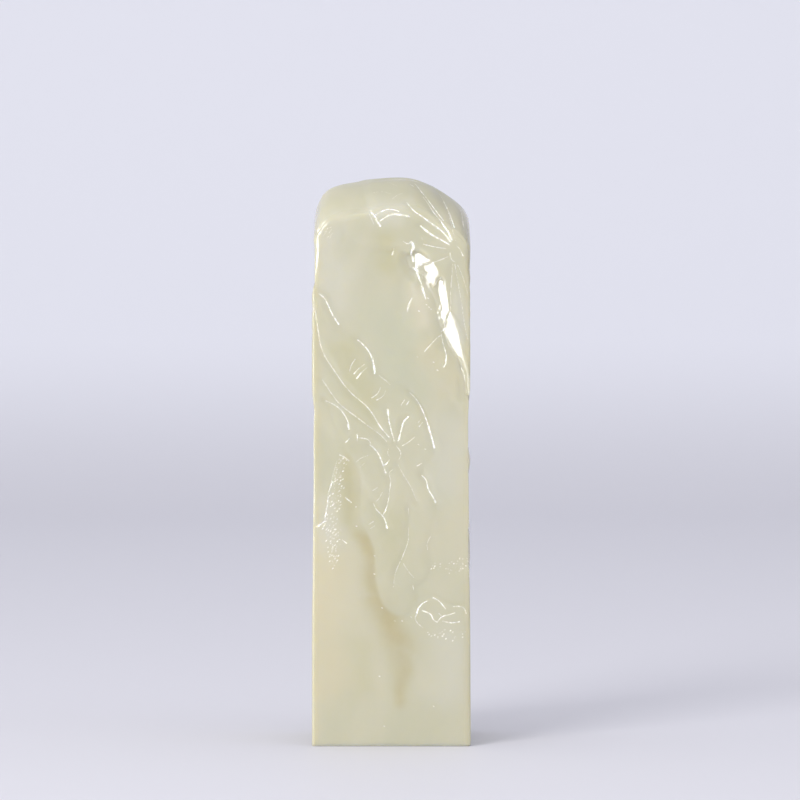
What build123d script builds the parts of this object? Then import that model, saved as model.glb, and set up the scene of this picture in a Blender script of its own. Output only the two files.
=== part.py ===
from build123d import *
import math
import os

# A carved seal stone: one upright block of soft stone, with a flat seal face below, a domed
# crown above, and lotus leaves left standing in thin relief round its upper part.
# Millimetres, +Z up, the origin at the middle of the seal face, the front towards -Y.

# The block as it was sawn
section_width = 25.0
section_depth = 25.0
stone_height = 90.0
upright_radius = 0.6
foot_bevel = 0.3

# The crown: its crest runs from side to side, and falls away to the front and the back
shoulder_fall = 5.0
crown_fall = 5.8
crown_stations = 5
crest_halvings = 24
crest_x_shares = [-1.06, -0.975, -0.86, -0.62, -0.2, 0.15, 0.38, 0.66, 0.93, 1.06]
crest_fall_shares = [2.3, 0.95, 0.42, 0.165, 0.043, 0.005, 0.112, 0.48, 1.02, 1.9]

# The ground that the carver cut back to: its sides lean in as they rise, and its crown lies
# lower than the leaf on it. The turned rim and the reeds are lower than the leaves.
ground_lean = 0.42
crown_relief = 0.3
rim_drop = 0.14
reed_drop = 0.1
pad_root = 1.2
overrun = 0.8

# The graver's strokes, and the ring round the middle of each leaf
vein_width = 0.42
vein_depth = 0.2
stroke_taper_share = 0.7
navel_radius = 1.1

# Outlines on a side have places across it, from -1 at its left edge as it is looked at to 1,
# and upwards, as shares of half the section and of the height. Those on the crown have places
# across and to the back. Outlines that go round an edge of the block run on past it.
past_edge_share = 1.06
over_top_share = 1.02
upper_leaf_front_shares = [
    (-0.3, 1.02), (-0.28, 0.96), (-0.24, 0.934), (-0.12, 0.912), (0.0, 0.894), (0.14, 0.888),
    (0.24, 0.882), (0.26, 0.868), (0.29, 0.848), (0.34, 0.832), (0.41, 0.812), (0.43, 0.79),
    (0.49, 0.772), (0.56, 0.75), (0.66, 0.733), (0.72, 0.712), (0.8, 0.69), (0.87, 0.662),
    (0.94, 0.632), (1.06, 0.612),
]
upper_leaf_right_shares = [
    (-1.06, 0.612), (-0.88, 0.604), (-0.72, 0.622), (-0.6, 0.65), (-0.46, 0.668),
    (-0.4, 0.705), (-0.24, 0.735), (-0.2, 0.78), (-0.04, 0.82), (0.02, 0.87), (0.14, 1.02),
]
upper_leaf_crown_shares = [
    (-0.3, -1.06), (-0.3, -0.9), (-0.38, -0.62), (-0.36, -0.36), (-0.44, -0.12),
    (-0.3, 0.08), (-0.1, 0.12), (0.06, 0.28), (0.32, 0.24), (0.54, 0.34), (0.8, 0.2),
    (1.06, 0.14),
]
turned_rim_shares = [
    (0.3, 0.86), (0.22, 0.845), (0.14, 0.822), (0.2, 0.795), (0.24, 0.772), (0.2, 0.75),
    (0.22, 0.726), (0.27, 0.704), (0.4, 0.678), (0.49, 0.656), (0.6, 0.638), (0.7, 0.617),
    (0.8, 0.6), (0.9, 0.589), (1.06, 0.583),
]
lower_leaf_front_shares = [
    (-1.06, 0.796), (-0.87, 0.79), (-0.78, 0.77), (-0.68, 0.741), (-0.59, 0.718),
    (-0.44, 0.707), (-0.31, 0.692), (-0.21, 0.671), (-0.19, 0.65), (-0.08, 0.636),
    (0.08, 0.624), (0.24, 0.618), (0.36, 0.598), (0.46, 0.566), (0.53, 0.522),
    (0.5, 0.49), (0.43, 0.472), (0.49, 0.445), (0.56, 0.42), (0.5, 0.39), (0.45, 0.352),
    (0.475, 0.315), (0.4, 0.29), (0.3, 0.272), (0.26, 0.245), (0.17, 0.228), (0.01, 0.23),
    (-0.12, 0.252), (-0.19, 0.285), (-0.215, 0.335), (-0.24, 0.366), (-0.36, 0.385),
    (-0.415, 0.42), (-0.39, 0.455), (-0.43, 0.487), (-0.5, 0.506), (-0.57, 0.524),
    (-0.64, 0.549), (-0.74, 0.568), (-0.84, 0.589), (-0.93, 0.603), (-1.06, 0.608),
]
lower_leaf_left_shares = [
    (1.06, 0.796), (0.86, 0.801), (0.66, 0.79), (0.5, 0.766), (0.36, 0.75), (0.3, 0.715),
    (0.38, 0.68), (0.36, 0.65), (0.48, 0.626), (0.64, 0.622), (0.8, 0.606), (1.06, 0.608),
]
reed_shares = [
    (-0.66, 0.506), (-0.72, 0.48), (-0.76, 0.44), (-0.82, 0.398), (-0.85, 0.368),
    (-0.82, 0.335), (-0.73, 0.308), (-0.66, 0.335), (-0.62, 0.37), (-0.63, 0.41),
    (-0.58, 0.455), (-0.55, 0.484), (-0.59, 0.502),
]
floating_leaf_shares = [
    (0.3, 0.232), (0.34, 0.25), (0.45, 0.261), (0.58, 0.265), (0.68, 0.256), (0.8, 0.25),
    (0.92, 0.243), (0.95, 0.226), (0.88, 0.213), (0.7, 0.207), (0.5, 0.205), (0.36, 0.213),
]

# The round leaf and the bud on the right side
side_leaf_centre_share = (-0.3, 0.345)
side_leaf_reach_share = (0.7, 0.062)
side_leaf_waves = 7
side_leaf_wave_share = 0.06
side_leaf_veins = 8
side_vein_share = 0.76
side_bud_centre_share = (-0.82, 0.498)
side_bud_reach_share = (0.15, 0.021)
rim_points_per_wave = 4

# The leaves' middles, and their veins from there to the rim
upper_navel_share = (0.8, 0.858)
upper_vein_shares = [
    [(0.7, 0.864), (0.56, 0.872), (0.42, 0.876)],
    [(0.7, 0.85), (0.5, 0.843), (0.3, 0.836)],
    [(0.76, 0.836), (0.75, 0.8), (0.71, 0.752)],
    [(0.81, 0.836), (0.86, 0.79), (0.93, 0.72)],
    [(0.86, 0.842), (0.96, 0.808)],
    [(0.72, 0.872), (0.55, 0.892), (0.37, 0.913)],
]
crown_vein_shares = [
    [(0.66, -0.94), (0.52, -0.82), (0.4, -0.66)],
    [(0.8, -0.94), (0.74, -0.78), (0.68, -0.6)],
    [(0.36, -0.3), (0.1, -0.24), (-0.14, -0.3)],
    [(0.44, -0.12), (0.34, 0.02), (0.28, 0.12)],
]
lower_navel_share = (0.02, 0.512)
lower_vein_shares = [
    [(-0.07, 0.53), (-0.3, 0.575), (-0.6, 0.63), (-0.86, 0.69), (-0.96, 0.755)],
    [(-0.09, 0.52), (-0.28, 0.55), (-0.55, 0.583), (-0.84, 0.642)],
    [(0.02, 0.533), (-0.02, 0.56), (-0.05, 0.588)],
    [(0.08, 0.531), (0.14, 0.555), (0.19, 0.578)],
    [(0.12, 0.521), (0.2, 0.529), (0.29, 0.535)],
    [(0.09, 0.495), (0.18, 0.465), (0.28, 0.433)],
    [(0.0, 0.49), (-0.01, 0.45), (-0.1, 0.405)],
    [(0.05, 0.49), (0.17, 0.41), (0.2, 0.355), (0.08, 0.305), (0.03, 0.275)],
]
floating_leaf_vein_shares = [
    [(0.38, 0.239), (0.49, 0.233), (0.57, 0.22)],
    [(0.82, 0.238), (0.65, 0.228), (0.57, 0.22)],
]

half_width = section_width / 2
half_depth = section_depth / 2
crown_radius = (half_depth ** 2 + crown_fall ** 2) / (2 * crown_fall)


def crest_line():
    shares = zip(crest_x_shares, crest_fall_shares)
    return Spline([(x * half_width, 0, stone_height - fall * shoulder_fall) for x, fall in shares])


def arc_height(y):
    """The crown's height over y against its crest, along an arc from the front to the back."""
    return math.sqrt(crown_radius ** 2 - y ** 2) - crown_radius


def crest_height(x):
    crest = crest_line()
    low, high = 0.0, 1.0
    for _ in range(crest_halvings):
        middle = (low + high) / 2
        if (crest @ middle).X < x:
            low = middle
        else:
            high = middle
    return (crest @ low).Z


def under_crown(drop):
    """All that lies below the crown, or below a surface so far under it: the section under
    the crest, carried from the front to the back along the arc."""
    crest = crest_line()
    left, right = crest @ 0, crest @ 1
    rim = Polyline(right, (right.X, 0, -overrun), (left.X, 0, -overrun), left)
    section = make_face([crest, rim])
    stations = []
    for step in range(-crown_stations, crown_stations + 1):
        y = (half_depth + overrun) * step / crown_stations
        stations.append(Pos(0, y, arc_height(y) - drop) * section)
    return loft(stations)


def upright_block(lean):
    """The four sides, leaning in by so much over the height."""
    plan = RectangleRounded(section_width, section_depth, upright_radius)
    lean_angle = math.degrees(math.atan2(lean, stone_height))
    return extrude(plan, stone_height + overrun, taper=lean_angle)


# A place on the sawn block is a plane that looks out of the stone
def on_front(share):
    return Plane((share[0] * half_width, -half_depth, share[1] * stone_height), z_dir=(0, -1, 0))


def on_right(share):
    return Plane((half_width, share[0] * half_depth, share[1] * stone_height), z_dir=(1, 0, 0))


def on_left(share):
    return Plane((-half_width, -share[0] * half_depth, share[1] * stone_height), z_dir=(-1, 0, 0))


def on_crown(share):
    x, y = share[0] * half_width, share[1] * half_depth
    top = (x, y, crest_height(x) + arc_height(y))
    return Plane(top, z_dir=(0, y, math.sqrt(crown_radius ** 2 - y ** 2)))


def open_outline(place, shares, corner_shares=()):
    """The face inside a curve whose ends lie past the block, closed out there by straight runs."""
    points = [place(share).origin for share in shares]
    corners = [place(share).origin for share in corner_shares]
    return make_face([Spline(points), Polyline([points[-1], *corners, points[0]])])


def round_outline(place, shares):
    return make_face(Spline([place(share).origin for share in shares], periodic=True))


def wavy_shares(centre, reach, waves, wave_share):
    """Places round a middle, at a reach that waves in and out."""
    count = waves * rim_points_per_wave
    for step in range(count):
        turn = 2 * math.pi * step / count
        swell = 1 + wave_share * math.cos(waves * turn)
        yield (
            centre[0] + reach[0] * swell * math.cos(turn),
            centre[1] + reach[1] * swell * math.sin(turn),
        )


def pad_below(outline, place, drop=0):
    """What stands over the ground inside an outline on a side, from so far under the block's
    face down to its root in the ground."""
    inward = -place((0, 0)).z_dir
    return extrude(Pos(inward * drop) * outline, pad_root, dir=inward)


def upper_leaf():
    """The leaf over the right front edge: on the front, on the right side and over the crown."""
    top = over_top_share
    front = open_outline(on_front, upper_leaf_front_shares, [(past_edge_share, top)])
    right = open_outline(on_right, upper_leaf_right_shares, [(-past_edge_share, top)])
    plan = [(x * half_width, y * half_depth) for x, y in upper_leaf_crown_shares]
    over = make_face([Spline(plan), Polyline([plan[-1], (plan[-1][0], plan[0][1]), plan[0]])])
    column = Pos(0, 0, stone_height / 2) * extrude(over, stone_height)
    shell = under_crown(0) - under_crown(pad_root)
    return [pad_below(front, on_front), pad_below(right, on_right), column & shell]


def turned_rim():
    """The rim of the upper leaf, turned under along its left edge."""
    outline = open_outline(on_front, turned_rim_shares)
    return [pad_below(outline, on_front, rim_drop)]


def lower_leaf():
    """The leaf that hangs across the front from the left front edge."""
    front = open_outline(on_front, lower_leaf_front_shares)
    left = open_outline(on_left, lower_leaf_left_shares)
    return [pad_below(front, on_front), pad_below(left, on_left)]


def reeds_and_floating_leaf():
    reeds = round_outline(on_front, reed_shares)
    leaf = round_outline(on_front, floating_leaf_shares)
    return [pad_below(reeds, on_front, reed_drop), pad_below(leaf, on_front)]


def side_leaf_and_bud():
    leaf_shares = wavy_shares(
        side_leaf_centre_share, side_leaf_reach_share, side_leaf_waves, side_leaf_wave_share
    )
    bud_shares = wavy_shares(side_bud_centre_share, side_bud_reach_share, side_leaf_waves, 0)
    leaf = round_outline(on_right, leaf_shares)
    bud = round_outline(on_right, bud_shares)
    return [pad_below(leaf, on_right), pad_below(bud, on_right)]


def graver_point(share=1):
    """The section of a stroke at a share of its full size: the graver's square point, with
    its upper half out of the stone."""
    half, depth = vein_width / 2 * share, vein_depth * share
    return make_face(Polyline([(0, depth), (half, 0), (0, -depth), (-half, 0)], close=True))


def graver_stroke(places):
    """A stroke of the graver along the stone, which thins out to its end."""
    path = Spline([place.origin for place in places])
    sections = []
    for number, place in enumerate(places):
        done = number / (len(places) - 1)
        along = path % done
        across = place.z_dir.cross(along)
        section = graver_point(1 - stroke_taper_share * done)
        sections.append(Plane(path @ done, x_dir=across, z_dir=along) * section)
    return loft(sections)


def navel_ring(place):
    """The ring round a leaf's middle, cut with the same point."""
    ring = revolve(Pos(navel_radius, 0, 0) * Rot(90, 0, 0) * graver_point(), Axis.Z)
    return place * ring


def side_leaf_strokes():
    centre = on_right(side_leaf_centre_share)
    reach = (side_leaf_reach_share[0] * half_depth, side_leaf_reach_share[1] * stone_height)
    strokes = []
    for number in range(side_leaf_veins):
        turn = 2 * math.pi * number / side_leaf_veins
        way = Vector(0, reach[0] * math.cos(turn), reach[1] * math.sin(turn))
        start = centre.origin + way.normalized() * navel_radius
        end = centre.origin + way * side_vein_share
        middle = (start + end) / 2
        strokes.append(graver_stroke([Plane(p, z_dir=centre.z_dir) for p in (start, middle, end)]))
    return strokes


def strokes():
    """Every line that the carver cut into the leaves."""
    cuts = []
    for shares in upper_vein_shares + lower_vein_shares + floating_leaf_vein_shares:
        cuts.append(graver_stroke([on_front(share) for share in shares]))
    for shares in crown_vein_shares:
        cuts.append(graver_stroke([on_crown(share) for share in shares]))
    cuts += side_leaf_strokes()
    cuts.append(navel_ring(on_front(upper_navel_share)))
    cuts.append(navel_ring(on_front(lower_navel_share)))
    cuts.append(navel_ring(on_right(side_leaf_centre_share)))
    return cuts


def seal_stone():
    sawn_block = upright_block(0) & under_crown(0)
    ground = upright_block(ground_lean) & under_crown(crown_relief)
    pads = upper_leaf() + turned_rim() + lower_leaf() + reeds_and_floating_leaf()
    pads += side_leaf_and_bud()
    stone = ground + [pad & sawn_block for pad in pads]
    stone = stone - strokes()
    seal_face = stone.faces().sort_by(Axis.Z)[0]
    return chamfer(seal_face.outer_wire().edges(), foot_bevel)


os.makedirs("parts", exist_ok=True)
stone = seal_stone()
stone.label = "seal_stone"
export_step(stone, "parts/seal_stone.step")
print("seal_stone", round(stone.volume, 1), "mm3")
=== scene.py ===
import bmesh
import bpy
import math
import numpy as np
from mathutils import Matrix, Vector, kdtree


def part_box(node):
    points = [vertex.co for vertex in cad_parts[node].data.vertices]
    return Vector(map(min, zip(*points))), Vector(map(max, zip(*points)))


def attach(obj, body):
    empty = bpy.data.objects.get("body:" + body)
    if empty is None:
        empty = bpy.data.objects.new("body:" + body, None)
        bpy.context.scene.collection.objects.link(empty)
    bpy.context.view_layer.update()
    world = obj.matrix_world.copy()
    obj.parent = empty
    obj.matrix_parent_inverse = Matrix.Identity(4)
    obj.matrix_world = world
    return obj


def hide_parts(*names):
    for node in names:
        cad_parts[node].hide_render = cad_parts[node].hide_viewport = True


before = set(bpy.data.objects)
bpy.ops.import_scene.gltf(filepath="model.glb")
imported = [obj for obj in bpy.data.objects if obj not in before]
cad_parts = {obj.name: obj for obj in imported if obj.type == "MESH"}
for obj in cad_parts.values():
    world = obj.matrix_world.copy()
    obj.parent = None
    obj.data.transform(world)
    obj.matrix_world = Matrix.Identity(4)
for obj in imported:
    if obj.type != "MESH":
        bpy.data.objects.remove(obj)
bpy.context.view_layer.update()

mm = 0.001
lowCorner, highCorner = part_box("seal_stone")
halfWidth = (highCorner.x - lowCorner.x) / 2 / mm
halfDepth = -lowCorner.y / mm
stoneHeight = highCorner.z / mm

photoCamera = {
    "imagePx": 800,
    "middlePx": 400,
    "focalPx": 3381,
    "pxPerMm": 6.38,      # on the stone's front
    "sensorWidth": 36.0,
    "side": 1.4,          # mm, to the right of the stone's middle
    "height": 54.3,       # mm, above the table
    "distance": 530.0,    # mm, in front of the stone's front
    "sightSteps": 800,    # places tried along a line of sight
}

# The block: sawn sides, a domed crown, and how its edges are eased
block = {
    "uprightRadius": 0.45,
    "shoulderRadius": 1.2,     # the same edge, where it meets the crown
    "shoulderBlend": 9.0,      # how far below the crown the one becomes the other
    "footRadius": 0.35,
    "footLiftShare": 0.414,    # how far a rounded corner lies in from the sharp one
    "ridgeRadius": 2.6,
    "shoulderFall": 5.0,
    "crownFall": 5.8,
    "crestAcrossShares": [-1.06, -0.975, -0.86, -0.62, -0.2, 0.15, 0.38, 0.66, 0.93, 1.06],
    "crestFallShares": [2.3, 0.95, 0.42, 0.165, 0.043, 0.005, 0.112, 0.48, 1.02, 1.9],
}

# How fine the stone's mesh is, in mm between points
mesh = {
    "spacing": 0.72,
    "edgeSteps": [0.12, 0.3, 0.55],
    "leafSpacing": 0.36,
    "rimSpacing": 0.15,
    "cutSpacing": 0.085,
    "levels": 3,
    "cutReach": 0.24,          # how near to a stroke, to dots or facets, to a rim and to a leaf each begins
    "rimReach": {"stroke": 0.45, "dots": 0.4, "rim": 0.3},
    "leafReach": {"stroke": 0.9, "rim": 1.1, "leaf": 0.9},
}


def smoothCurve(points, spacing):  # a natural cubic through the points, sampled about that far apart
    points = np.array(points, float)
    steps = np.linalg.norm(np.diff(points, axis=0), axis=1)
    along = np.concatenate([[0], np.cumsum(steps)])
    count = len(points)
    matrix, right = np.zeros((count, count)), np.zeros(points.shape)
    matrix[0, 0] = matrix[-1, -1] = 1
    for i in range(1, count - 1):
        before, after = steps[i - 1], steps[i]
        matrix[i, i - 1:i + 2] = before, 2 * (before + after), after
        right[i] = 6 * ((points[i + 1] - points[i]) / after - (points[i] - points[i - 1]) / before)
    bend = np.linalg.solve(matrix, right)
    places = np.linspace(0, along[-1], max(2, int(along[-1] / spacing) + 1))
    piece = np.clip(np.searchsorted(along, places, side="right") - 1, 0, count - 2)
    size, done = steps[piece][:, None], (places - along[piece])[:, None]
    left = size - done
    return (
        bend[piece] * left ** 3 / (6 * size) + bend[piece + 1] * done ** 3 / (6 * size)
        + (points[piece] / size - bend[piece] * size / 6) * left
        + (points[piece + 1] / size - bend[piece + 1] * size / 6) * done
    )


crest = smoothCurve([
    (across * halfWidth, stoneHeight - fall * block["shoulderFall"])
    for across, fall in zip(block["crestAcrossShares"], block["crestFallShares"])
], 0.05)
crownRadius = (halfDepth ** 2 + block["crownFall"] ** 2) / (2 * block["crownFall"])


def crownHeight(x, y):
    return np.interp(x, crest[:, 0], crest[:, 1]) - crownRadius + np.sqrt(crownRadius ** 2 - np.square(y))


def throughPixel(point):  # where the line of sight through a pixel of the photo meets the sawn block
    eye = np.array([photoCamera["side"], -halfDepth - photoCamera["distance"], photoCamera["height"]])
    slopeX = (point[0] - photoCamera["middlePx"]) / photoCamera["focalPx"]
    slopeZ = (photoCamera["middlePx"] - point[1]) / photoCamera["focalPx"]
    y = np.linspace(-halfDepth, halfDepth, photoCamera["sightSteps"])
    x, z = eye[0] + slopeX * (y - eye[1]), eye[2] + slopeZ * (y - eye[1])
    over = z - crownHeight(np.clip(x, -halfWidth, halfWidth), y)
    first = int(np.argmax(over <= 0))
    if over[0] <= 0 or over[first] > 0:
        return x[0], y[0], z[0]
    part = over[first - 1] / (over[first - 1] - over[first])
    y = y[first - 1] + part * (y[first] - y[first - 1])
    return eye[0] + slopeX * (y - eye[1]), y, eye[2] + slopeZ * (y - eye[1])


def onFront(point):  # across the front and up, in mm
    x, _, z = throughPixel(point)
    return x, z


# Strokes of the graver: half widths at the start and the end, in pixels, and the pixels they pass.
# The first group follows the upper leaf, and the second the lower one.
upperStrokesPx = [
    (1.0, 0.9, [(370, 209.8), (374.6, 217.2), (380, 225.9)]),
    (0.4, 0.4, [(369.4, 213.7), (373.9, 224.2)]),
    (0.8, 0.8, [(375, 214.8), (382.2, 210.3), (386.7, 208.7), (394.4, 209.2), (398.9, 210.9)]),
    (0.8, 1.2, [(380, 220.9), (386.7, 216.4), (392.8, 214), (398.9, 214.4), (408, 216.2)]),
    (0.7, 1.5, [(449.4, 244.8), (441.1, 239.8), (431.1, 234.2), (421.1, 225.9)]),
    (0.9, 0.7, [(450.2, 241.4), (443.3, 232.6), (431.1, 223.1), (421.1, 215.3), (415, 210.9),
                (406.7, 202)]),
    (1.0, 0.4, [(451.7, 239.8), (446.1, 228.1), (439.4, 218.1), (434.4, 212), (430, 205.3),
                (423.3, 196.4)]),
    (0.3, 0.4, [(455.6, 240.9), (452.8, 227.6), (450.2, 217.6), (447.8, 206.4)]),
    (0.5, 0.6, [(446.1, 248.7), (435.6, 247), (423.3, 244.2)]),
    (0.4, 0.7, [(448.3, 256.4), (437.8, 260.9), (430.6, 263.1), (414.4, 266.4)]),
    (0.3, 0.5, [(452.6, 264.2), (451.7, 277.6), (450.6, 294.2), (450.6, 307.8), (448.9, 315.6),
                (445, 324.4), (442.2, 331.1)]),
    (0.35, 0.3, [(455, 264.2), (456.7, 275.3), (460, 294.2), (462.2, 307.8), (464.4, 323.3),
                 (467.8, 338.9)]),
    (0.35, 0.3, [(457.8, 265.3), (462.2, 275.3), (465.6, 286.4), (468.5, 296)]),
    (0.6, 0.6, [(434, 286), (437, 283), (440, 279)]),
    (1.1, 1.1, [(412.8, 268.7), (418.3, 275.3), (421.7, 284.2), (425.6, 298.7)]),
    (0.4, 0.4, [(422.2, 274.2), (422.8, 278.7)]),
    (0.5, 0.9, [(441.8, 334), (444.5, 346), (446.5, 358), (443.5, 367)]),
    (0.5, 0.5, [(441, 335), (433, 342), (424.5, 351.5)]),
    (0.5, 0.4, [(411.5, 298), (408.2, 305), (407, 312)]),
    (0.4, 0.6, [(393.9, 248.7), (391.7, 254.8)]),
    (0.5, 0.6, [(456.6, 245.8), (459.1, 248.3), (461.6, 252.6), (462.9, 255.8)]),
    (0.5, 0.4, [(449.8, 252.6), (450.4, 257), (452.9, 260.8), (454.8, 262)]),
    (0.3, 0.2, [(374, 192.5), (382, 191.5), (391, 193.5)]),
    (0.2, 0.3, [(392, 198.7), (397, 195), (403, 193)]),
    (0.2, 0.3, [(387.8, 182), (392, 183.5), (396.7, 185.9)]),
    (0.6, 0.6, [(410.6, 184.2), (413.9, 185.9)]),
    (0.2, 0.2, [(325, 229), (331, 227)]),
    (0.4, 0.3, [(321.5, 229.5), (327, 223.6)]),
    (0.4, 0.3, [(318.6, 236), (322.5, 229.5)]),
    (0.3, 0.2, [(329, 233), (331.5, 229)]),
    (0.3, 0.2, [(329.6, 238.5), (331.6, 234)]),
    (0.3, 0.2, [(325, 232), (328, 228)]),
    (0.2, 0.2, [(323, 236), (327, 231)]),
    (0.2, 0.2, [(326.5, 238), (333, 233)]),
    (0.4, 0.4, [(421.8, 238), (422.3, 239.5)]),
    (0.5, 1.0, [(403.6, 241.4), (407.2, 243.6), (411.4, 241.8)]),
    (1.5, 1.2, [(411.8, 243), (413, 247), (411.4, 251), (412.2, 255.5), (413.2, 261)]),
]
lowerStrokesPx = [
    (0.7, 1.1, [(318.9, 293.3), (323.3, 296.7), (331.1, 311.1), (338.9, 323.9)]),
    (0.9, 1.1, [(357.8, 339.4), (365.6, 346.7), (370.6, 354.4), (373.9, 365.6), (375, 373.3)]),
    (0.5, 0.4, [(378.9, 375), (383.9, 378.9), (390, 384.4)]),
    (0.5, 0.7, [(312.8, 304.4), (316.7, 322.2), (320, 343.3), (324.4, 355.6), (332.2, 367.8),
                (343.3, 383.9), (354.4, 396.1), (367.8, 407.8), (376.7, 421.1), (381.1, 427.8),
                (388.9, 437.2)]),
    (0.6, 0.5, [(322.2, 380), (328.9, 390), (337.8, 402.2), (346.7, 410), (354.4, 415.6), (363.3, 422.2),
                (372.2, 428.9), (381.1, 435.6), (386.7, 441.7)]),
    (0.5, 0.9, [(325.6, 401.1), (336.7, 406.7), (343.3, 413.3), (346.7, 420), (348.6, 428.9)]),
    (0.4, 0.7, [(364.4, 364.4), (358.6, 368.6), (353.9, 373.9)]),
    (0.4, 0.7, [(366.9, 367.8), (361, 372.8), (356.4, 378.6)]),
    (0.5, 0.4, [(355, 359.4), (351.1, 365.6), (349.4, 371.7)]),
    (0.4, 0.7, [(380.6, 387.2), (377.2, 393.9), (371.7, 397.8)]),
    (0.4, 0.7, [(385.6, 390.6), (382.8, 396.1), (376.7, 400)]),
    (0.5, 0.6, [(404.4, 400), (401.1, 405)]),
    (0.5, 0.6, [(408.9, 401.1), (406.4, 405)]),
    (0.4, 0.6, [(421.1, 418.9), (418, 422.8)]),
    (0.4, 0.6, [(422.8, 422.2), (419.1, 426.7)]),
    (0.5, 1.1, [(410, 392.2), (416.7, 399.4), (422.2, 408.9), (426.7, 420), (430, 431.1), (434.4, 447.8)]),
    (0.9, 0.6, [(387.2, 409.4), (388.6, 418.9), (391.1, 430), (393.9, 441.1)]),
    (0.8, 0.7, [(407.8, 416.7), (404.2, 420.5), (401.1, 430), (397.8, 441.1)]),
    (0.5, 0.6, [(414.4, 437.2), (406.7, 443.3), (402.2, 445.8)]),
    (0.8, 0.8, [(370, 445), (377.2, 452.2), (381.1, 460), (385.6, 472.8)]),
    (0.5, 0.7, [(389.4, 460), (386.6, 463), (383.3, 466.1)]),
    (0.6, 0.5, [(356.7, 434.4), (357.2, 441.1)]),
    (0.5, 0.5, [(359.4, 437.8), (364.5, 438.6), (368.9, 440.6), (370.6, 443.9)]),
    (0.5, 0.5, [(349.4, 438.3), (345.6, 442.2)]),
    (0.3, 0.35, [(356.1, 462.2), (360, 458.9), (367.8, 455.6)]),
    (0.25, 0.35, [(359.4, 467.8), (364.4, 463.3)]),
    (0.45, 0.55, [(392.2, 470), (389.4, 472.5), (390, 478.9), (389.4, 491.1), (388.3, 500),
                  (383.3, 514.4)]),
    (0.5, 0.8, [(373.3, 503.3), (376.7, 510), (381.7, 515), (385.6, 522.2), (386.7, 527.8)]),
    (0.4, 0.5, [(377.2, 487.8), (372.8, 490.6)]),
    (0.4, 0.4, [(382.2, 492.2), (379.2, 498), (375.6, 502.2)]),
    (0.4, 0.5, [(373.3, 521.7), (368.9, 524.4)]),
    (0.4, 0.5, [(374.5, 526), (370.5, 528.6)]),
    (0.35, 0.4, [(397.8, 464.4), (404.4, 476.7), (410.6, 486.7), (414.4, 495.6), (416.7, 500.9)]),
    (0.7, 1.3, [(422.2, 475.6), (426.1, 480), (427.8, 487.8), (432.2, 495.6), (435.6, 502.2)]),
    (0.5, 0.6, [(421.7, 463.3), (417.2, 466.1)]),
    (0.2, 0.6, [(408.6, 508), (408.3, 528), (408.3, 540), (405.6, 548.9), (401.1, 560)]),
    (0.5, 0.35, [(400, 562), (397.8, 566.7), (394.4, 577.8), (393.4, 587)]),
    (0.5, 0.3, [(403, 563.5), (408.9, 572.2), (413.4, 577.5)]),
    (0.5, 0.5, [(412.8, 585.6), (413.9, 590)]),
    (0.4, 0.5, [(430.6, 536.7), (427.4, 543.3), (427.8, 550)]),
    (0.5, 0.5, [(396, 446), (400.6, 453.3), (400.2, 456.5), (398.9, 459.4)]),
    (0.3, 0.3, [(388.5, 449), (387.6, 453), (389.5, 457)]),
]
specksPx = [
    (355.6, 506.7), (356, 526), (373.9, 555.6), (373.9, 573.9), (381.7, 607.8), (379, 676), (433, 706),
    (384, 726), (427.8, 297.8), (426, 304.5), (429, 307), (431, 309), (418.5, 310.8), (433, 362),
    (437, 370), (416.7, 356.7), (424.6, 449), (417.8, 444.4), (394.4, 620.6), (401.7, 620.6),
    (410.6, 616.7), (466.7, 558.3), (468.5, 561),
]
waterStrokesPx = [
    (0.3, 0.35, [(336.7, 461.1), (333.9, 471.1), (331.1, 482.2), (328.3, 493.3), (326.7, 504.4),
                 (324.4, 517.8)]),
    (0.9, 0.5, [(316.7, 526.7), (320.5, 524), (324.4, 521.5)]),
    (0.6, 0.7, [(345.6, 497.8), (351.1, 502.2)]),
    (0.4, 0.7, [(342.2, 540), (346.7, 543.3)]),
    (0.5, 0.5, [(339.4, 455), (343.3, 456.7), (349, 461)]),
    (0.6, 0.7, [(426.7, 601.1), (422, 604), (418.9, 606.7), (416.7, 613.3)]),
    (0.5, 0.4, [(416, 615), (415.2, 617.8), (417.8, 623.3), (423.3, 627.8)]),
    (0.8, 0.6, [(433.3, 597.7), (438, 600.4), (441.1, 603.3), (445.6, 608.9)]),
    (0.5, 0.6, [(453.3, 606.7), (458.5, 606.4), (463.3, 607.8), (466.1, 613.3)]),
    (0.6, 0.7, [(422.2, 610.6), (426.7, 612.2), (431.1, 615), (433.3, 619.4), (437.2, 622.2)]),
    (0.7, 0.6, [(437.2, 622.2), (442.2, 616.7), (447.8, 615), (455, 612.8)]),
    (0.5, 0.5, [(438.9, 613.3), (441.7, 616.4)]),
    (0.5, 0.6, [(442.8, 621.1), (451.1, 622.8), (459.4, 621.7)]),
]

# Outlines on the front, by the pixels they pass. Each runs on past the edge that it goes round.
turnedRimPx = [
    (422, 262), (414, 268.5), (410, 276), (407, 288), (405.5, 300), (407, 320), (410, 340), (416, 351),
    (425, 361), (436, 373), (447, 390), (458, 405), (466, 410),
]
lowerLeafPx = [
    (313, 291), (322, 294.5), (332, 310), (339.5, 323), (345, 334), (357, 338), (366, 346), (372, 354),
    (375.5, 365), (377, 373), (390, 383.5), (402, 388), (411, 391.5), (418, 399), (424, 409), (429, 421),
    (433, 434), (436, 448), (431, 460), (424, 468), (424.5, 475), (429, 482), (434, 494), (437, 503),
    (434, 520), (430, 537), (429, 550), (430.5, 565), (428, 575), (421, 584), (415, 589), (416, 597),
    (412, 607), (407, 615), (397, 615), (386, 608), (379, 594), (375.5, 575), (374.5, 556), (370, 538),
    (364, 527), (360.5, 512), (361, 492), (359, 470), (352, 458), (344, 446), (342, 437), (336, 427),
    (331, 413), (325, 402), (313, 398),
]
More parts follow.
